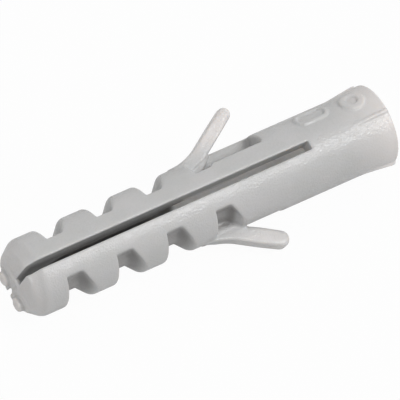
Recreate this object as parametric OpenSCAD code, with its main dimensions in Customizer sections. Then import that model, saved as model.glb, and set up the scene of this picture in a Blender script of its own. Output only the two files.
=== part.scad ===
// Expansion wall plug, moulded in one piece.
// The plug axis is X. The origin is where the straight screw bore begins, just inside the
// mouth. The mouth faces +X and the nose points to -X.
// Z is up with the plug lying on a table, on its belly and one tongue tip.
// Lengths are in millimetres.

/* [Sleeve] */
// Outside diameter of the sleeve and of the tooth crests
body_diameter = 7.65; // [7.0:0.05:8.4]
// Length from the mouth to the flat end of the nose
body_length = 39.7; // [38.5:0.1:42]
// Extra diameter of the mouth where the sleeve flares
flare_growth = 0.4; // [0:0.05:0.8]
// Length of the flare
flare_length = 4.3; // [2:0.1:6]

/* [Nose] */
// Diameter of the flat end of the nose
nose_diameter = 5.7; // [4.5:0.1:6.5]
// Length of the tapered nose
nose_length = 1.6; // [1:0.1:2.2]
// Height of the two round pads on the end of the nose
pad_height = 0.3; // [0.1:0.05:0.6]
// Diameter of a pad
pad_diameter = 1.6; // [1:0.1:1.8]
// Step between the two halves of the nose end, at the parting plane
end_step = 0.12; // [0:0.02:0.2]

/* [Teeth] */
// Distance from one tooth to the next
tooth_pitch = 5.43; // [5.3:0.01:5.6]
// Distance from the mouth to the back face of the last tooth
last_tooth = 19.96; // [19:0.02:21]
// Length of the flat bottom of a notch
notch_floor = 2.38; // [2:0.02:2.6]
// Length of the ramp that climbs out of a notch
notch_ramp = 1.05; // [0.7:0.05:1.2]
// Lean of the ramps, from one side of the plug to the other
ramp_lean = 11; // [0:1:13]
// Diameter of the round core left in the notches
core_diameter = 4.95; // [4.6:0.05:5.6]
// Thickness of the spine that carries the slit past the notches
spine_thickness = 4.0; // [3.6:0.1:4.8]
// How far the edges of a crest are broken
crest_break = 0.22; // [0.05:0.01:0.3]

/* [Slit] */
// Width of the slit
slit_width = 0.86; // [0.5:0.02:1.1]
// Distance from the mouth to the square end of the slit
slit_start = 8.5; // [7:0.1:10]
// Thickness of the web that ties the two halves at the nose
web_thickness = 0.9; // [0.4:0.05:1.2]
// Height of that web
web_height = 2.6; // [0.6:0.1:3]

/* [Screw bore] */
// Diameter of the screw bore
bore_diameter = 3.7; // [3.2:0.05:3.9]
// Diameter of the lead-in at the mouth
lead_in_diameter = 5.0; // [4.2:0.1:5.8]
// Length of the lead-in
lead_in_length = 0.7; // [0.3:0.1:1.2]
// Distance from the mouth to the end of the full bore
bore_depth = 14; // [12:0.5:16]
// Diameter of the second stage of the bore
second_diameter = 2.9; // [2.2:0.1:3.1]
// Distance from the mouth to the end of the second stage
second_depth = 23.3; // [21:0.1:25]
// Diameter of the pilot that runs to the nose
pilot_diameter = 1.4; // [1:0.1:1.8]

/* [Tongues] */
// Thickness of a tongue
tongue_thickness = 1.22; // [0.9:0.02:1.4]
// Height of a tongue across the parting plane
tongue_height = 1.7; // [1.4:0.05:2]
// Radius of the bend at the root of a tongue
tongue_bend = 6.57; // [5:0.1:9]
// Angle of a tongue to the plug axis
tongue_angle = 32; // [24:0.5:38]
// Length of the straight part of a tongue
tongue_reach = 4.1; // [3.5:0.02:4.6]
// Distance from the mouth to the far wall of a tongue pocket
pocket_end = 12.2; // [11:0.1:12.8]
// Distance from the plug axis to the inner wall of a pocket
pocket_wall = 2.3; // [2.2:0.02:2.5]

/* [Mouth ribs] */
// Length of a rib
rib_length = 3.8; // [2:0.1:5]
// How far a rib stands out at the mouth
rib_rise = 0.22; // [0.1:0.02:0.5]
// Width of a rib
rib_width = 0.4; // [0.2:0.05:0.8]

/* [Plain marks] */
// How far the plain marks stand out
mark_rise = 0.18; // [0.05:0.01:0.25]
// Outer diameter of the plain ring near the mouth
mark_ring = 2.4; // [1.6:0.1:2.6]
// Length of the plain oval beside it
mark_oval = 3.7; // [2.6:0.1:4]

/* [Hidden] */
$fn = 96;
eps = 0.01;

body_r = body_diameter / 2;
mouth_r = body_r + flare_growth / 2;
nose_r = nose_diameter / 2;
core_r = core_diameter / 2;
spine_h = spine_thickness / 2;
bore_r = bore_diameter / 2;
second_r = second_diameter / 2;
pilot_r = pilot_diameter / 2;
tooth_count = 4;
// Back faces of the teeth, counted from the nose.
backs = [for (i = [0 : tooth_count - 1]) -last_tooth - (tooth_count - 1 - i) * tooth_pitch];
// Height above the body at which the cutting profiles close, clear of the surface.
over = 0.2;
// Tongue tip, from the bend and the straight part.
tip_y = body_r + tongue_bend * (1 - cos(tongue_angle)) + tongue_reach * sin(tongue_angle)
    + tongue_thickness / 2 * (1 - cos(tongue_angle));
tongue_z0 = 0.05;
tongue_z1 = tongue_z0 + tongue_height;
tip_low = hypot(tip_y, tongue_z1);
// Roll at rest: the belly and the lower corner of one tongue tip touch the table together.
rest_roll = asin(body_r / tip_low) - atan(tongue_z1 / tip_y);

function hypot(a, b) = sqrt(a * a + b * b);

// Profile of the round core along the teeth, as [radius, x]. The bottoms of the notches
// rise to the crests at 45 degrees, and the profile closes above the body surface.
core_floor = notch_floor - 0.5;
core_comb = [
    for (b = backs)
        let (r = b + core_floor + body_r - crest_break - core_r)
        each [
            [body_r + over, b - (crest_break + over) * 1.6],
            [body_r - crest_break, b],
            [core_r, b],
            [core_r, b + core_floor],
            [body_r - crest_break, r],
            [body_r + over, r + (crest_break + over) * 2]
        ]
];

module along_axis() rotate([0, 90, 0]) rotate([0, 0, 90]) children();

// Outer skin of the plug, before the notches: nose, sleeve and flare.
module skin() {
    along_axis() rotate_extrude()
        polygon([
            [0, -body_length],
            [nose_r - 0.25, -body_length],
            [nose_r, -body_length + 0.2],
            [body_r - 0.12, -body_length + nose_length - 0.1],
            [body_r, -body_length + nose_length + 0.25],
            [body_r, -flare_length],
            [mouth_r, -0.3],
            [mouth_r - 0.12, 0],
            [0, 0]
        ]);
}

// Round core of the toothed length, with cone-shaped ramps up to each crest.
module core() {
    along_axis() rotate_extrude()
        polygon(concat(
            [[0, -body_length - 1], [body_r + over, -body_length - 1]],
            core_comb,
            [[body_r + over, 1], [0, 1]]
        ));
}

// Gap between two teeth on the +Y flank, down to the spine. The back face stands square
// to the axis, and the ramp leans from one side of the plug to the other.
module gap(back) {
    tall = 2 * body_r + 4;
    top = body_r + over;
    rise = body_r - spine_h;
    run = notch_ramp * (rise - crest_break) / rise;
    intersection() {
        translate([back, 0, 0]) linear_extrude(tall, center = true)
            polygon([
                [0, spine_h], [7, spine_h], [7, top],
                [-(crest_break + over) * 1.6, top], [0, body_r - crest_break]
            ]);
        translate([back + notch_floor, 0, 0]) rotate([0, -ramp_lean, 0])
            linear_extrude(tall, center = true)
            polygon([
                [-6, spine_h - 1], [0, spine_h - 1], [0, spine_h], [run, body_r - crest_break],
                [run + (crest_break + over) * 2, top], [run + (crest_break + over) * 2, top + 1],
                [-6, top + 1]
            ]);
    }
}

// Spine that carries the slit past the notches, between the gaps of both flanks.
module spine() {
    difference() {
        translate([-body_length - 1, -body_r - over + 0.05, -body_r - 1])
            cube([body_length + 2, 2 * (body_r + over - 0.05), 2 * body_r + 2]);
        for (b = backs) {
            gap(b);
            mirror([0, 1, 0]) gap(b);
        }
    }
}

// Pocket that a tongue folds into, open on one side of the parting plane.
module pocket() {
    translate([-last_tooth, pocket_wall, 0])
        cube([last_tooth - pocket_end, body_r + 1, body_r + 1]);
}

// Section of a tongue, a plain rectangle beside the bend axis.
module tongue_section() {
    translate([tongue_bend, tongue_z0]) square([tongue_thickness, tongue_height]);
}

// Springy tongue: bent root, straight blade and round end. Its outer face leaves the
// round of the body along a cone. A web under the root ties it to the spine.
module tongue() {
    root = -last_tooth - 1.04;
    difference() {
        bar(root);
        along_axis() rotate_extrude()
            polygon([
                [body_r, root - 0.8], [body_r, root], [body_r + 0.52, root + 2],
                [body_r + 3, root + 2], [body_r + 3, root - 0.8]
            ]);
    }
    difference() {
        translate([-last_tooth - 0.1, spine_h - 0.2, tongue_z0])
            cube([2.7, body_r - spine_h, tongue_height / 2]);
        translate([root, body_r + tongue_bend, -1])
            cylinder(r = tongue_bend + tongue_thickness / 2, h = 4);
    }
}

// Bar of a tongue, bent and then straight.
module bar(root) {
    translate([root, body_r + tongue_bend, 0]) {
        rotate([0, 0, -90]) rotate_extrude(angle = tongue_angle) tongue_section();
        rotate([0, 0, tongue_angle - 90]) {
            translate([0, tongue_reach + eps, 0]) rotate([90, 0, 0])
                linear_extrude(tongue_reach + 2 * eps) tongue_section();
            intersection() {
                translate([0, tongue_reach + tongue_thickness, 0]) rotate([90, 0, 0])
                    linear_extrude(tongue_thickness) tongue_section();
                translate([tongue_bend + tongue_thickness / 2, tongue_reach, -1])
                    cylinder(r = tongue_thickness / 2, h = tongue_z1 + 2);
            }
        }
    }
}

// Slit through both walls. It closes a little at the nose, where a web ties the halves.
module slit() {
    a = slit_width / 2;
    end = -body_length;
    difference() {
        translate([0, 0, -body_r - 1]) linear_extrude(2 * body_r + 2)
            polygon([
                [-slit_start, a], [end + 0.8, a], [end, a - 0.15], [end - 1, a - 0.15],
                [end - 1, 0.15 - a], [end, 0.15 - a], [end + 0.8, -a], [-slit_start, -a]
            ]);
        translate([end - 0.5, -1, 0.7 - web_height]) cube([web_thickness + 0.5, 2, web_height]);
    }
    // Groove between the pads, below the parting plane.
    translate([0, 0, -body_r - 1]) linear_extrude(body_r + 0.7)
        polygon([[end - 0.5, 0.9], [end + 0.4, 0], [end - 0.5, -0.9]]);
}

// Screw bore: lead-in, full stage, second stage and pilot.
module bore() {
    along_axis() rotate_extrude()
        polygon([
            [0, -body_length + 4.2],
            [pilot_r - 0.3, -body_length + 4.2],
            [pilot_r, -body_length + 5.2],
            [pilot_r, -second_depth - 1.6],
            [second_r, -second_depth],
            [second_r, -bore_depth - 2.4],
            [bore_r, -bore_depth],
            [bore_r, -lead_in_length],
            [lead_in_diameter / 2, 0],
            [lead_in_diameter / 2, 1],
            [0, 1]
        ]);
}

// Two round pads on the end of the nose, both below the parting plane.
module pads() {
    r = pad_diameter / 2;
    for (dy = [-1.45, 1.45])
        translate([-body_length - pad_height, dy, -1.6]) rotate([0, 90, 0])
            cylinder(r1 = r - 0.12, r2 = r, h = pad_height + 0.4);
}

// Step on the end of the nose: its upper half stands back.
module step() {
    translate([-body_length - 1, -body_r, 0]) cube([1 + end_step, 2 * body_r, body_r]);
}

// Four thin ribs along the flare, rising to the mouth.
module ribs() {
    rise = mouth_r + rib_rise;
    for (a = [0 : 90 : 270]) rotate([a, 0, 0])
        translate([0, 0, -rib_width / 2]) linear_extrude(rib_width)
            polygon([
                [-rib_length, body_r - 0.3], [-rib_length, body_r + 0.01],
                [-0.35, rise], [-0.06, rise - 0.05], [-0.06, body_r - 0.3]
            ]);
}

// Outline of an oval with straight sides, as long as given between its end centres.
module oval(r, span) {
    for (dx = [-span / 2, span / 2]) translate([dx, 0]) circle(r);
    square([span, 2 * r], center = true);
}

// Plain raised marks on the upper flank: a ring, and an oval behind it.
module marks() {
    r = mark_ring / 2;
    span = mark_oval - 2;
    intersection() {
        union() {
            rotate([49, 0, 0]) translate([-2.4, body_r - 1, 0]) rotate([-90, 0, 0])
                linear_extrude(3) difference() {
                    circle(r);
                    circle(r - 0.48);
                }
            rotate([46, 0, 0]) translate([-6.6, body_r - 1, 0]) rotate([-90, 0, 0])
                linear_extrude(3) difference() {
                    oval(1, span);
                    oval(0.52, span);
                }
        }
        along_axis() rotate_extrude()
            polygon([
                [body_r - 0.5, -body_length], [body_r + mark_rise, -body_length],
                [body_r + mark_rise, -flare_length],
                [mouth_r + mark_rise, -0.3], [mouth_r + mark_rise, 0],
                [body_r - 0.5, 0]
            ]);
    }
}

module wall_plug() {
    color([0.76, 0.755, 0.75])
        translate([lead_in_length, 0, 0]) rotate([rest_roll, 0, 0])
        difference() {
            union() {
                difference() {
                    intersection() {
                        skin();
                        union() {
                            core();
                            spine();
                        }
                    }
                    for (turn = [0, 180]) rotate([turn, 0, 0]) pocket();
                    step();
                }
                for (turn = [0, 180]) rotate([turn, 0, 0]) tongue();
                pads();
                ribs();
                marks();
            }
            slit();
            bore();
        }
}

wall_plug();
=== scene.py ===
import math

import bpy
import numpy as np
from mathutils import Matrix, Vector


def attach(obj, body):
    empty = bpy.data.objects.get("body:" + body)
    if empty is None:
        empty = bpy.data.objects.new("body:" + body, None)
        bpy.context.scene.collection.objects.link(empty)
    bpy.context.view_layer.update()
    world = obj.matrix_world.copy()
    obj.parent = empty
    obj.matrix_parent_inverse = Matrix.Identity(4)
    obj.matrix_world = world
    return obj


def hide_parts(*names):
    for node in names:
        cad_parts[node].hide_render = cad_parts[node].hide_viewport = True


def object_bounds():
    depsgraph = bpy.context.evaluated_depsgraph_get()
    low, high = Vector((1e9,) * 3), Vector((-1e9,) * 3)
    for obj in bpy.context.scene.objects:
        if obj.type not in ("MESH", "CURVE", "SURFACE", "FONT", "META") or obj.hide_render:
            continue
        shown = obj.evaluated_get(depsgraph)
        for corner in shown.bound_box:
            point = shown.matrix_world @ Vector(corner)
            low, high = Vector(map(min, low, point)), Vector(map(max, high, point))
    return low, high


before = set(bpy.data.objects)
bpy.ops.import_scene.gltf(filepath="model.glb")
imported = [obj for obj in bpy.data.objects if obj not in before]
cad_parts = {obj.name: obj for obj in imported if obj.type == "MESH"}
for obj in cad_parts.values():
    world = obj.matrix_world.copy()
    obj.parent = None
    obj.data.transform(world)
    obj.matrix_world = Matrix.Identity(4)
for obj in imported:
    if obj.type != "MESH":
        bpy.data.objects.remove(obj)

cad_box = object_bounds()


# WALL PLUG
# The whole plug is one injection moulding in light grey nylon: sleeve, toothed shank,
# nose, two springy tongues and a slit through both walls. The mould rounds every edge a
# little, so the surface is found as the zero level of one smooth distance field.

# The fields take millimetres on the plug's own axes: x along it and out of the mouth, y
# across the slit, z across the parting plane, and r the distance from the axis.
MM = 0.001
EDGE = 0.2
CUT_EDGE = 0.14


def soft_max(a, b, k):
    """The larger of a and b, with the edge between them rounded over a width k: a quarter
    of k times h squared is added, where h falls to 0 as they move k apart."""
    h = np.maximum(k - np.abs(a - b), 0.0) / k
    return np.maximum(a, b) + h * h * k * 0.25


def soft_min(a, b, k):
    """The smaller of a and b, with a fillet of width k between them."""
    return -soft_max(-a, -b, k)


# Sleeve and nose.
BODY_R = 3.825
FLARE = 4.3
MOUTH_GROW = 0.2
MOUTH_END = 0.12
MOUTH_EDGE = 0.12
LENGTH = 39.7
NOSE_R = 2.85
NOSE_SLOPE = 0.74
NOSE_EDGE = 0.3
END_STEP = 0.14
STEP_BLEND = 0.08


def mouth_radius(x):
    """Sleeve radius: constant, then growing with the square of the way along the flare."""
    t = np.clip((x + FLARE) / FLARE, 0.0, 1.0)
    return BODY_R + MOUTH_GROW * t * t


def skin_field(x, r):
    """Distance to the skin: the largest of the distances to the flared cylinder, to the
    cone at the nose and to the flat mouth."""
    side = r - mouth_radius(x)
    cone = (r - NOSE_R - (x + LENGTH) * NOSE_SLOPE) / math.hypot(1.0, NOSE_SLOPE)
    return soft_max(soft_max(side, cone, EDGE), x - MOUTH_END, MOUTH_EDGE)


def end_field(x, z):
    """Distance to the flat end of the nose, which steps back above the parting plane: the
    step is taken in as a smooth 0 to 1 of z, by its hyperbolic tangent."""
    return -x - LENGTH + END_STEP * (0.5 + 0.5 * np.tanh(z / STEP_BLEND))


# Teeth: the gaps between them, counted from the nose.
GAPS = 4
PITCH = 5.43
LAST_BACK = -19.96
FIRST_BACK = LAST_BACK - (GAPS - 1) * PITCH
GAP_LEAD = 0.9
FLOOR_LEN = 2.38
CORE_R = 2.475
CORE_SHORT = 0.5
COS_45 = 0.7071
SPINE_H = 2.0
RAMP_RUN = 1.05
RAMP_SLOPE = RAMP_RUN / (BODY_R - SPINE_H)
LEAN = math.tan(math.radians(11))
GAP_CREASE = 0.15


def gap_field(x, y, z, r):
    """Distance to the gaps between teeth. Each starts at a back face square to the axis.
    Its bottom is a round core joined to a flat spine, and its far side is a ramp: a cone
    on the core, and a leaning plane on the spine."""
    i = np.clip(np.floor((x - FIRST_BACK + GAP_LEAD) / PITCH), 0, GAPS - 1)
    u = x - FIRST_BACK - i * PITCH
    h = np.abs(y)
    cone = (u - FLOOR_LEN + CORE_SHORT - (r - CORE_R)) * COS_45
    core = soft_max(soft_max(-u, CORE_R - r, EDGE), cone, EDGE)
    ramp = u - FLOOR_LEN + LEAN * z - (h - SPINE_H) * RAMP_SLOPE
    ramp = ramp / math.hypot(1.0, RAMP_SLOPE)
    flat = soft_max(soft_max(-u, SPINE_H - h, EDGE), ramp, EDGE)
    return soft_max(core, flat, GAP_CREASE)


# Tongues. The second one and its pocket are the first ones turned half round the axis.
POCKET_END = -12.2
POCKET_FLOOR = 2.3
POCKET_CORNER = 0.35
POCKET_SIDE = 0.25
TONGUE_ROOT = LAST_BACK - 1.04
TONGUE_T = 1.22
TONGUE_Z = (0.05, 1.75)
BEND_INNER = 6.57
BEND_MID = BEND_INNER + TONGUE_T / 2
BEND_Y = BODY_R + BEND_INNER
TONGUE_ANGLE = math.radians(32)
LOW_ANGLE = math.radians(30)
TONGUE_REACH = 4.1
DRAFT = 0.14
LOW_SWELL = 0.12
BLADE_EDGE = 0.16
TIP_EDGE = 0.4
ROOT_BLEND = 1.6
WEB_BACK = LAST_BACK - 0.3
WEB_END = -18.15
WEB_FOOT = 2.4
WEB_LEAN = 1.1
WEB_SCALE = 0.67
WEB_Y = (1.7, 3.5)
WEB_MID = 0.85
WEB_HALF = 0.8
WEB_EDGES = (0.3, 0.1, 0.35)


def pocket_field(x, y, z):
    """Distance to the pocket of one tongue: a box open outwards and to one side."""
    d = soft_max(LAST_BACK - x, x - POCKET_END, EDGE)
    d = soft_max(d, POCKET_FLOOR - y, POCKET_CORNER)
    return soft_max(d, -z, POCKET_SIDE)


def tongue_field(x, y, z, angle, swell):
    """Distance to one tongue: a bar swept along an arc and then a straight line, with a
    round end, a flat face on the parting plane and an outer face as round as the body.
    The mould's draft thickens it towards the parting plane, and swell towards its tip."""
    cx, cy = x - TONGUE_ROOT, y - BEND_Y
    rad = np.hypot(cx, cy)
    ang = np.arctan2(cx, -cy)
    on_arc = (ang >= 0) & (ang <= angle) & (cy < 0)
    arc = np.where(on_arc, np.abs(rad - BEND_MID), np.hypot(cx, cy + BEND_MID))
    ca, sa = math.cos(angle), math.sin(angle)
    px, py = cx - BEND_MID * sa, cy + BEND_MID * ca
    run = px * ca + py * sa
    along = np.clip(run, 0.0, TONGUE_REACH)
    blade = np.hypot(px - along * ca, py - along * sa)
    z0, z1 = TONGUE_Z
    half = TONGUE_T / 2 + DRAFT * np.clip((z1 - z) / (z1 - z0), 0.0, 1.0)
    half = half + swell * np.clip(run / TONGUE_REACH, 0.0, 1.0)
    side = np.abs(z - (z0 + z1) / 2) - (z1 - z0) / 2
    edge = BLADE_EDGE + TIP_EDGE * np.clip(run / TONGUE_REACH * 2 - 1, 0.0, 1.0)
    d = soft_max(np.minimum(arc, blade) - half, side, edge)
    out = np.where(on_arc, BEND_MID - rad, py * ca - px * sa)
    drop = BODY_R - np.sqrt(np.maximum(BODY_R ** 2 - z * z, 1.0))
    drop = drop * np.clip(1 - cx / ROOT_BLEND, 0.0, 1.0)
    return soft_max(d, out - half + drop, BLADE_EDGE)


def root_web_field(x, y, z):
    """Distance to the web under a tongue's root, which ties it to the spine: a plate cut
    off by a leaning end, and above by the middle of the tongue's bend."""
    end_edge, top_edge, side_edge = WEB_EDGES
    end = (x - WEB_END - (y - WEB_FOOT) * WEB_LEAN) * WEB_SCALE
    under = BEND_MID - np.hypot(x - TONGUE_ROOT, y - BEND_Y)
    top = np.maximum(np.maximum(under, y - WEB_Y[1]), WEB_Y[0] - y)
    d = soft_max(soft_max(WEB_BACK - x, end, end_edge), top, top_edge)
    return soft_max(d, np.abs(z - WEB_MID) - WEB_HALF, side_edge)


# Slit.
SLIT_HALF = 0.43
SLIT_TIP_HALF = 0.12
SLIT_TIP = -LENGTH - 0.2
SLIT_HEAD = -8.5
SLIT_CORNER = 0.16
TIE_END = -39.2
TIE_MID = -0.95
TIE_HALF = 1.1
TIE_FILLET = 0.15
GROOVE_SLOPE = 0.8
GROOVE_BOTTOM = -39.48
GROOVE_SCALE = 0.78
GROOVE_TOP = -0.3


def slit_field(x, y, z):
    """Distance to the slit: a flat gap that narrows at the nose, less the short tie that
    holds the halves together there, and a V groove across the end below the tie."""
    half = np.interp(x, [SLIT_TIP, TIE_END], [SLIT_TIP_HALF, SLIT_HALF])
    gap = soft_max(np.abs(y) - half, x - SLIT_HEAD, SLIT_CORNER)
    tie = soft_max(x - TIE_END, np.abs(z - TIE_MID) - TIE_HALF, EDGE)
    groove = (np.abs(y) * GROOVE_SLOPE + x - GROOVE_BOTTOM) * GROOVE_SCALE
    groove = np.maximum(groove, z - GROOVE_TOP)
    return np.minimum(soft_max(gap, -tie, TIE_FILLET), groove)


# Screw bore: a lead-in at the mouth, then three stages of falling radius.
LEAD_IN = 0.7
BORE_END = -35.5
BORE_X = [BORE_END, -34.5, -24.9, -23.3, -16.4, -14.0, -LEAD_IN, 0.0]
BORE_R = [0.4, 0.7, 0.7, 1.45, 1.45, 1.85, 1.85, 2.5]
BORE_SCALE = 0.9


def bore_field(x, r):
    """Distance to the screw bore: straight lines between the radii, and on past the
    mouth at 45 degrees."""
    radius = np.interp(x, BORE_X, BORE_R) + np.maximum(x, 0)
    return soft_max((r - radius) * BORE_SCALE, BORE_END - x, EDGE)


# Pads on the end of the nose, one on each half, with a shallow moat round each.
PAD_SHIFT = 0.17
PAD_Y = 1.37
PAD_Z = -1.7
PAD_R = 0.72
PAD_H = 0.3
PAD_FOOT = 0.5
PAD_EDGE = 0.22
SUNK_EDGE = 0.1
MOAT_R = 0.92
MOAT_HALF = 0.16
MOAT_DEEP = 0.16


def pad_radius(y, z):
    """Distance from the middle of the nearer pad, across the end of the nose."""
    return np.hypot(np.abs(y + PAD_SHIFT) - PAD_Y, z - PAD_Z)


def pad_field(x, y, z):
    """Distance to the round pad on each half of the nose's end: a short cylinder."""
    d = soft_max(pad_radius(y, z) - PAD_R, -x - LENGTH - PAD_H, PAD_EDGE)
    return soft_max(d, x + LENGTH - PAD_FOOT, SUNK_EDGE)


def moat_field(x, y, z):
    """Distance to the moat round each pad: a ring sunk into the nose's end."""
    ring = np.abs(pad_radius(y, z) - MOAT_R) - MOAT_HALF
    return soft_max(ring, x + LENGTH - MOAT_DEEP, SUNK_EDGE)


# Mouth ribs, and the plain raised marks on one flank.
RIB_X = [-3.9, -3.6, -0.3]
RIB_TOP = [BODY_R - 0.1, BODY_R + 0.03, BODY_R + 0.42]
RIB_FOOT = 3.4
RIB_HALF = 0.17
RIB_MID = -1.9
RIB_REACH = 1.98
RIB_EDGES = (0.16, 0.08, 0.1)
RING_TURN, RING_X, RING_R, RING_HALF = math.radians(52), -2.3, 0.93, 0.36
OVAL_TURN, OVAL_X, OVAL_R, OVAL_HALF = math.radians(46), -6.6, 0.75, 0.24
OVAL_RUN = 0.85
MARK_H = 0.2


def rib_field(x, y, z, r):
    """Distance to the four ribs of the mouth: thin plates whose height grows with x."""
    top_edge, end_edge, foot_edge = RIB_EDGES
    top = np.interp(x, RIB_X, RIB_TOP)
    d = soft_max(np.minimum(np.abs(y), np.abs(z)) - RIB_HALF, r - top, top_edge)
    d = soft_max(d, np.abs(x - RIB_MID) - RIB_REACH, end_edge)
    return soft_max(d, RIB_FOOT - r, foot_edge)


def mark_field(x, y, z, r):
    """Distance to the raised marks: a ring and an oval, drawn on the unrolled skin as
    arc length and x, and as high as the mark height over it."""
    ang = np.arctan2(z, y)
    a, b = (ang - RING_TURN) * r, x - RING_X
    ring = np.abs(np.hypot(a, b) - RING_R) - RING_HALF
    a, b = (ang - OVAL_TURN) * r, np.maximum(np.abs(x - OVAL_X) - OVAL_RUN, 0.0)
    oval = np.abs(np.hypot(a, b) - OVAL_R) - OVAL_HALF
    return soft_max(np.minimum(ring, oval), r - mouth_radius(x) - MARK_H, EDGE)


WEB_FILLET = 0.4
ROOT_FILLET = 0.2
PAD_FILLET = 0.12
RIB_FILLET = 0.15
MARK_FILLET = 0.1


def plug_field(x, y, z):
    """Distance to the finished plug: gaps and pockets are cut from the skin, the tongues,
    pads, ribs and marks are added, and the slit and bore are cut through all of it."""
    r = np.hypot(y, z)
    d = soft_max(skin_field(x, r), end_field(x, z), NOSE_EDGE)
    d = soft_max(d, -gap_field(x, y, z, r), CUT_EDGE)
    for side in (1.0, -1.0):
        d = soft_max(d, -pocket_field(x, side * y, side * z), CUT_EDGE)
    for side, angle, swell in ((1.0, TONGUE_ANGLE, 0.0), (-1.0, LOW_ANGLE, LOW_SWELL)):
        d = soft_min(d, root_web_field(x, side * y, side * z), WEB_FILLET)
        d = soft_min(d, tongue_field(x, side * y, side * z, angle, swell), ROOT_FILLET)
    d = soft_max(d, -moat_field(x, y, z), PAD_FILLET)
    d = soft_min(d, pad_field(x, y, z), PAD_FILLET)
    d = soft_min(d, rib_field(x, y, z, r), RIB_FILLET)
    d = soft_min(d, mark_field(x, y, z, r), MARK_FILLET)
    d = soft_max(d, -slit_field(x, y, z), CUT_EDGE)
    return soft_max(d, -bore_field(x, r), CUT_EDGE)


def net_surface(value, low, step):
    """Closed quad mesh of the zero level: one point in each grid cell that the surface
    crosses, at the mean of its edge crossings, and one quad round each crossed edge."""
    inside = value < 0
    n = np.array(value.shape) - 1
    corners = [(i, j, k) for i in (0, 1) for j in (0, 1) for k in (0, 1)]
    count = sum(inside[i:i + n[0], j:j + n[1], k:k + n[2]].astype(np.int8)
                for i, j, k in corners)
    cells = np.argwhere((count > 0) & (count < len(corners)))
    index = np.full(n, -1, dtype=np.int64)
    index[tuple(cells.T)] = np.arange(len(cells))
    total, hits = np.zeros((len(cells), 3)), np.zeros(len(cells))
    for a in corners:
        for axis in range(3):
            if a[axis]:
                continue
            b = tuple(c + (m == axis) for m, c in enumerate(a))
            va, vb = (value[tuple((cells + q).T)] for q in (a, b))
            cut = (va < 0) != (vb < 0)
            at = np.tile(np.array(a, float), (len(cells), 1))
            at[:, axis] += va / np.where(cut, va - vb, 1.0)
            total += np.where(cut[:, None], at, 0.0)
            hits += cut
    points = low + (cells + total / hits[:, None]) * step
    quads = []
    for axis in range(3):
        p, q = (axis + 1) % 3, (axis + 2) % 3
        lower = np.take(inside, range(n[axis]), axis)
        upper = np.take(inside, range(1, n[axis] + 1), axis)
        edge = np.argwhere(lower != upper)
        ring = []
        for dp, dq in ((-1, -1), (0, -1), (0, 0), (-1, 0)):
            cell = edge.copy()
            cell[:, p] += dp
            cell[:, q] += dq
            ring.append(index[tuple(cell.T)])
        ring = np.stack(ring, 1)
        quads.append(np.where(lower[tuple(edge.T)][:, None], ring, ring[:, ::-1]))
    return points, np.concatenate(quads)


def field_slope(p, reach=0.01):
    """Gradient of the field at each point: its rise over a step of reach each way."""
    out = np.empty_like(p)
    for axis in range(3):
        step = np.zeros(3)
        step[axis] = reach
        out[:, axis] = (plug_field(*(p + step).T) - plug_field(*(p - step).T)) / (2 * reach)
    return out


def settle(p, rounds=3, least_slope=0.25, longest=0.06):
    """Moves points onto the zero level: each goes down the slope by the field's value over
    the slope's square, and no further than longest in a round."""
    for _ in range(rounds):
        g = field_slope(p)
        size = np.maximum((g * g).sum(1), least_slope)
        move = plug_field(*p.T)[:, None] * g / size[:, None]
        p = p - np.clip(move, -longest, longest)
    return p


# Roll at rest: the belly and the low corner of one tongue tip touch the table together.
tip_y = (BODY_R + BEND_INNER * (1 - math.cos(TONGUE_ANGLE))
         + TONGUE_REACH * math.sin(TONGUE_ANGLE)
         + TONGUE_T / 2 * (1 - math.cos(TONGUE_ANGLE)))
ROLL = (math.asin(BODY_R / math.hypot(tip_y, TONGUE_Z[1]))
        - math.atan(TONGUE_Z[1] / tip_y))


def to_frame(p):
    """Points of the plug in millimetres, rolled about its axis and set in the frame, whose
    origin is where the straight bore begins."""
    c, s = math.cos(ROLL), math.sin(ROLL)
    x, y, z = np.asarray(p, float).T
    return np.stack([x + LEAD_IN, y * c - z * s, y * s + z * c], 1) * MM


CELL = np.array([0.16, 0.125, 0.125])
LOW = np.array([-40.5, -7.6, -4.8])
HIGH = np.array([0.5, 7.6, 4.8])
lines = np.ceil((HIGH - LOW) / CELL).astype(int) + 1
grid = np.meshgrid(*(LOW[m] + np.arange(lines[m]) * CELL[m] for m in range(3)),
                   indexing="ij")
points, quads = net_surface(plug_field(*grid), LOW, CELL)
points = settle(points)
plug_mesh = bpy.data.meshes.new("wall_plug_moulded")
plug_mesh.from_pydata(to_frame(points).tolist(), [], quads.tolist())
plug_mesh.polygons.foreach_set("use_smooth", np.ones(len(quads), dtype=bool))


def fade(value, ends):
    """0 up to the first end, 1 from the second on, and a straight line between them."""
    start, stop = ends
    return np.clip((value - start) / (stop - start), 0.0, 1.0)


def set_point_values(name, values):
    """Stores one number for each point of the plug, which its material reads."""
    layer = plug_mesh.attributes.new(name, "FLOAT", "POINT")
    layer.data.foreach_set("value", values.astype(np.float32))


x, y, z = points.T
radial = np.hypot(y, z)

# Painted light: the thin places that light comes through are painted paler, as if lit
# through:
# the tongues, the rim of the mouth, and a little of it the nose with its pads. The low
# tongue lies nearer the table and has half.
PALE_TONGUE = (BODY_R + 0.2, BODY_R + 1.4)
TONGUES_END = -8
LOW_SHARE = 0.5
PALE_MOUTH = (-5.5, -0.5)
MOUTH_CURVE = 1.5
PALE_NOSE = (-37.9, -38.9)
NOSE_SHARE = 0.3
PALE_PADS = (-39.75, -39.9)
glow_share = fade(radial, PALE_TONGUE) * (x < TONGUES_END) * np.where(y < 0, LOW_SHARE, 1.0)
glow_share = np.maximum(glow_share, fade(x, PALE_MOUTH) ** MOUTH_CURVE)
glow_share = np.maximum(glow_share, NOSE_SHARE * fade(x, PALE_NOSE))
glow_share = np.maximum(glow_share, fade(x, PALE_PADS))
set_point_values("painted_glow", glow_share)
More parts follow.
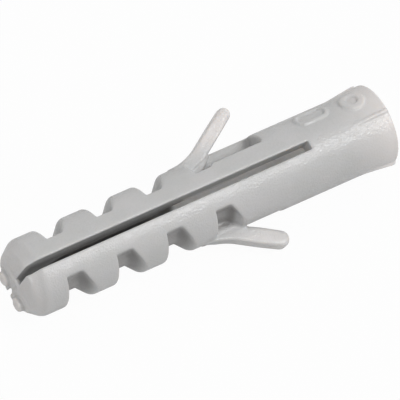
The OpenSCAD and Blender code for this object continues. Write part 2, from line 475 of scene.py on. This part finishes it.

# Painted light: the wide part of the bore is painted near white, standing in for the
# daylight that the walls let in.
BORE_DEPTH = (2.2, 1.9)
WIDE_BORE = (-21.9, -21.4)
set_point_values("bore_wall", fade(radial, BORE_DEPTH) * fade(x, WIDE_BORE))

# Deep in the narrow end of the bore and slit, and at the foot of the belly's gaps, the
# grey stays in shade.
SLIT_DEPTH = (2.7, 1.5)
NARROW_BORE = (-21.6, -22.1)
FOOT_DEPTH = (BODY_R - 0.1, BODY_R - 0.8)
FOOT_SIDE = (0.0, -1.5)
FOOT_GAPS = (-17.4, -17.7)
FOOT_INNER = 1.9
FOOT_SHARE = 0.6
CLEAR_OF_NOSE = (-39.0, -38.4)
narrow = fade(radial, SLIT_DEPTH) * fade(x, NARROW_BORE)
foot = FOOT_SHARE * fade(radial, FOOT_DEPTH) * fade(y, FOOT_SIDE)
foot = foot * fade(x, FOOT_GAPS) * (radial > FOOT_INNER)
set_point_values("deep_shade", np.maximum(narrow, foot) * fade(x, CLEAR_OF_NOSE))

plug_mesh.update()
plug = bpy.data.objects.new("wall_plug_moulded", plug_mesh)
bpy.context.scene.collection.objects.link(plug)


def srgb(text):
    """Linear colour of an sRGB hex value."""
    c = [int(text[i:i + 2], 16) / 255 for i in (1, 3, 5)]
    return [v / 12.92 if v <= 0.04045 else ((v + 0.055) / 1.055) ** 2.4 for v in c] + [1.0]


def add_node(owner, kind, settings=None, links=None):
    """Adds a shader node to a material or world, then sets and links its inputs. A key is
    an input's name or number, or the name of one of the node's own properties."""
    node = owner.node_tree.nodes.new(kind)
    for key, value in (settings or {}).items():
        if isinstance(key, int) or key in node.inputs:
            node.inputs[key].default_value = value
        else:
            setattr(node, key, value)
    for key, source in (links or {}).items():
        owner.node_tree.links.new(source, node.inputs[key])
    return node


# Injection-moulded nylon in a spark-eroded mould: a matt, slightly translucent grey whose
# grain breaks a highlight into specks. The real grain is well under 0.1 mm across, too
# fine to show, so it is drawn about 0.25 mm across. Depths and sizes are in millimetres.
GREY, LIGHT_GREY = "#babab9", "#c0bfbf"
GLOW_GREY, SHADE_GREY, LIT_GREY = "#d7d3d1", "#716e6c", "#fbfaf8"
GREY_AT, LIGHT_AT = 0.55, 0.88
SPARK_SIZE, GRAIN_SIZE, CLOUD_SIZE = 0.15, 0.22, 3.5
SPARK_DEPTH, GLINT_DEPTH = 0.018, 0.046
SPARK_TINT = 0.4
SKIN_GLOW, BORE_GLOW = 0.2, 8.0
nylon = bpy.data.materials.new("moulded_nylon_spark_eroded")
nylon.use_nodes = True
nylon.node_tree.nodes.clear()
place = add_node(nylon, "ShaderNodeTexCoord")
grain = add_node(nylon, "ShaderNodeTexNoise",
                 {"Scale": 1 / (GRAIN_SIZE * MM), "Detail": 2.0, "Roughness": 0.6},
                 {"Vector": place.outputs["Object"]})
spark = add_node(nylon, "ShaderNodeTexNoise",
                 {"Scale": 1 / (SPARK_SIZE * MM), "Detail": 0.0},
                 {"Vector": place.outputs["Object"]})
cloud = add_node(nylon, "ShaderNodeTexNoise",
                 {"Scale": 1 / (CLOUD_SIZE * MM), "Detail": 3.0},
                 {"Vector": place.outputs["Object"]})
mottle = add_node(nylon, "ShaderNodeMath", {"operation": "MULTIPLY_ADD", 1: SPARK_TINT},
                  {0: spark.outputs["Fac"], 2: cloud.outputs["Fac"]})
tone = add_node(nylon, "ShaderNodeValToRGB", links={"Fac": mottle.outputs[0]})
first, last = tone.color_ramp.elements
first.position, first.color = GREY_AT, srgb(GREY)
last.position, last.color = LIGHT_AT, srgb(LIGHT_GREY)
# Painted light: tongues, mouth rim and nose are mixed towards a paler grey, as if light
# came through them.
in_glow = add_node(nylon, "ShaderNodeAttribute", {"attribute_name": "painted_glow"})
paler = add_node(nylon, "ShaderNodeMix", {"data_type": "RGBA", 7: srgb(GLOW_GREY)},
                 {0: in_glow.outputs["Fac"], 6: tone.outputs["Color"]})
in_shade = add_node(nylon, "ShaderNodeAttribute", {"attribute_name": "deep_shade"})
shaded = add_node(nylon, "ShaderNodeMix", {"data_type": "RGBA", 7: srgb(SHADE_GREY)},
                  {0: in_shade.outputs["Fac"], 6: paler.outputs[2]})
# Painted light: the wide bore is mixed towards near white, as if lit by daylight through
# the walls.
in_bore = add_node(nylon, "ShaderNodeAttribute", {"attribute_name": "bore_wall"})
lit_bore = add_node(nylon, "ShaderNodeMix", {"data_type": "RGBA", 7: srgb(LIT_GREY)},
                    {0: in_bore.outputs["Fac"], 6: shaded.outputs[2]})
bump = add_node(nylon, "ShaderNodeBump", {"Strength": 1.0, "Distance": SPARK_DEPTH * MM},
                {"Height": spark.outputs["Fac"]})
glint = add_node(nylon, "ShaderNodeBump", {"Strength": 1.0, "Distance": GLINT_DEPTH * MM},
                 {"Height": spark.outputs["Fac"]})
rough = add_node(nylon, "ShaderNodeMapRange",
                 {"From Min": 0.3, "From Max": 0.7, "To Min": 0.42, "To Max": 0.58},
                 {"Value": grain.outputs["Fac"]})
deep = add_node(nylon, "ShaderNodeMapRange",
                {"To Min": SKIN_GLOW * MM, "To Max": BORE_GLOW * MM},
                {"Value": in_bore.outputs["Fac"]})
surface = add_node(nylon, "ShaderNodeBsdfPrincipled",
                   {"IOR": 1.53, "Coat Weight": 0.9, "Coat Roughness": 0.23,
                    "Subsurface Weight": 1.0, "Subsurface Radius": (1.0, 0.9, 0.8)},
                   {"Base Color": lit_bore.outputs[2], "Roughness": rough.outputs["Result"],
                    "Subsurface Scale": deep.outputs["Result"],
                    "Normal": bump.outputs["Normal"],
                    "Coat Normal": glint.outputs["Normal"]})
add_node(nylon, "ShaderNodeOutputMaterial", links={"Surface": surface.outputs["BSDF"]})
plug_mesh.materials.append(nylon)
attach(plug, "root")
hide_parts("wall_plug")


# FLOOR
# A large white card that the plug lies on. The camera sees it as white, with a small
# share of lit card that keeps a faint shadow under the plug. The plug's own gloss takes
# only a fifth of that white, so that its gaps stay dark.
SPAN = 3.0
CARD_GREY = "#c8c8c8"
WHITE_SHARE = 0.965
GLOSS_SHARE = 0.2
floor_z = cad_box[0][2]
floor_mesh = bpy.data.meshes.new("floor")
floor_mesh.from_pydata([(-SPAN, -SPAN, floor_z), (SPAN, -SPAN, floor_z),
                        (SPAN, SPAN, floor_z), (-SPAN, SPAN, floor_z)], [], [(0, 1, 2, 3)])
floor = bpy.data.objects.new("floor", floor_mesh)
bpy.context.scene.collection.objects.link(floor)
paper = bpy.data.materials.new("white_card")
paper.use_nodes = True
paper.node_tree.nodes.clear()
ray = add_node(paper, "ShaderNodeLightPath")
matt = add_node(paper, "ShaderNodeBsdfDiffuse", {"Color": srgb(CARD_GREY)})
glow = add_node(paper, "ShaderNodeEmission", {"Color": (1, 1, 1, 1), "Strength": 1.0})
shown = add_node(paper, "ShaderNodeMath", {"operation": "MULTIPLY_ADD", 1: GLOSS_SHARE},
                 {0: ray.outputs["Is Glossy Ray"], 2: ray.outputs["Is Camera Ray"]})
through = add_node(paper, "ShaderNodeMath", {"operation": "ADD"},
                   {0: shown.outputs[0], 1: ray.outputs["Is Transmission Ray"]})
share = add_node(paper, "ShaderNodeMath", {"operation": "MULTIPLY", 1: WHITE_SHARE},
                 {0: through.outputs[0]})
blend = add_node(paper, "ShaderNodeMixShader",
                 links={0: share.outputs[0], 1: matt.outputs["BSDF"],
                        2: glow.outputs["Emission"]})
add_node(paper, "ShaderNodeOutputMaterial", links={"Surface": blend.outputs["Shader"]})
floor_mesh.materials.append(paper)


# CAMERA
# A long lens, so the plug's sides stay parallel. It looks down on the slit, leaning 23.5
# degrees towards the nose and 11.5 towards the low tongue, and the plug runs from low
# left to high right. Distances are in millimetres on the plug's own axes.
NOSE_TURN = math.radians(23.5)
SIDE_TURN = math.radians(11.5)
SLANT = math.atan2(0.404, 0.9147)
IMAGE_WIDTH = 400
PIXELS_PER_MM = 10.75
FIELD = IMAGE_WIDTH / PIXELS_PER_MM
SENSOR = 36
DISTANCE = 650
MID_X = -19.42
MID_LIFT = 0.175
lift = np.array([0, math.cos(SIDE_TURN), math.sin(SIDE_TURN)])
depth = np.array([0, -math.sin(SIDE_TURN), math.cos(SIDE_TURN)])
axis = np.array([1.0, 0, 0])
along = math.cos(NOSE_TURN) * axis + math.sin(NOSE_TURN) * depth
back = -math.sin(NOSE_TURN) * axis + math.cos(NOSE_TURN) * depth
right = math.cos(SLANT) * along - math.sin(SLANT) * lift
up = math.sin(SLANT) * along + math.cos(SLANT) * lift
aim = np.array([MID_X, 0.0, 0.0]) + MID_LIFT * lift
rolled = np.array([[1, 0, 0], [0, math.cos(ROLL), -math.sin(ROLL)],
                   [0, math.sin(ROLL), math.cos(ROLL)]])
right_w, up_w, back_w = rolled @ right, rolled @ up, rolled @ back
eye = to_frame((aim + back * DISTANCE)[None])[0]
camera_data = bpy.data.cameras.new("camera")
camera_data.sensor_width = SENSOR
camera_data.lens = SENSOR * DISTANCE / FIELD
camera_data.clip_start = 0.01
camera_data.clip_end = 10
camera = bpy.data.objects.new("camera", camera_data)
camera.matrix_world = Matrix([[right_w[i], up_w[i], back_w[i], eye[i]] for i in range(3)]
                             + [[0, 0, 0, 1]])
bpy.context.scene.collection.objects.link(camera)
bpy.context.scene.camera = camera


# LIGHT
# A soft box high on the mouth's side draws the bright band along the top, and a low one
# beyond the nose lights its end and the pads. Even light comes from all round and fades
# towards the nose's side, so that the ramps of the teeth stay darker.
target = to_frame(aim[None])[0]
KEY_WAY = rolled @ np.array([0.399, -0.182, 0.899])
KEY_FAR, KEY_SIZE, KEY_POWER = 0.62, 0.22, 1.5
NOSE_WAY = np.array([-0.6, -0.05, 0.13])
NOSE_SIZE, NOSE_POWER = 0.2, 1.25
DARK_WAY = (-1.0, 0.0, 0.0)
ROOM_LEVEL = 0.82
ROOM_CURVE = 0.8


def soft_box(name, place, size, power):
    """A square lamp that faces the middle of the plug."""
    lamp = bpy.data.lights.new(name, "AREA")
    lamp.size = size
    lamp.energy = power
    thing = bpy.data.objects.new(name, lamp)
    spot = Vector(place)
    facing = (spot - Vector(target)).to_track_quat("Z", "Y").to_matrix().to_4x4()
    thing.matrix_world = Matrix.Translation(spot) @ facing
    bpy.context.scene.collection.objects.link(thing)


soft_box("key_soft_box", target + KEY_FAR * KEY_WAY, KEY_SIZE, KEY_POWER)
soft_box("nose_soft_box", target + NOSE_WAY, NOSE_SIZE, NOSE_POWER)
world = bpy.data.worlds.new("studio")
bpy.context.scene.world = world
world.use_nodes = True
world.node_tree.nodes.clear()
seen = add_node(world, "ShaderNodeLightPath")
either = add_node(world, "ShaderNodeMath", {"operation": "MAXIMUM"},
                  {0: seen.outputs["Is Camera Ray"], 1: seen.outputs["Is Glossy Ray"]})
any_of = add_node(world, "ShaderNodeMath", {"operation": "MAXIMUM"},
                  {0: either.outputs[0], 1: seen.outputs["Is Transmission Ray"]})
way = add_node(world, "ShaderNodeTexCoord")
facing = add_node(world, "ShaderNodeVectorMath",
                  {"operation": "DOT_PRODUCT", 1: DARK_WAY}, {0: way.outputs["Generated"]})
front = add_node(world, "ShaderNodeMath", {"operation": "MAXIMUM", 1: 0.0},
                 {0: facing.outputs["Value"]})
lobe = add_node(world, "ShaderNodeMath", {"operation": "POWER", 1: ROOM_CURVE},
                {0: front.outputs[0]})
around = add_node(world, "ShaderNodeMapRange", {"To Min": ROOM_LEVEL, "To Max": 0.0},
                  {"Value": lobe.outputs[0]})
level = add_node(world, "ShaderNodeMapRange", {"To Max": 1.0},
                 {"Value": any_of.outputs[0], "To Min": around.outputs["Result"]})
tent = add_node(world, "ShaderNodeBackground", {"Color": (1, 1, 1, 1)},
                {"Strength": level.outputs["Result"]})
add_node(world, "ShaderNodeOutputWorld", links={"Surface": tent.outputs["Background"]})
bpy.context.scene.view_settings.view_transform = "Standard"
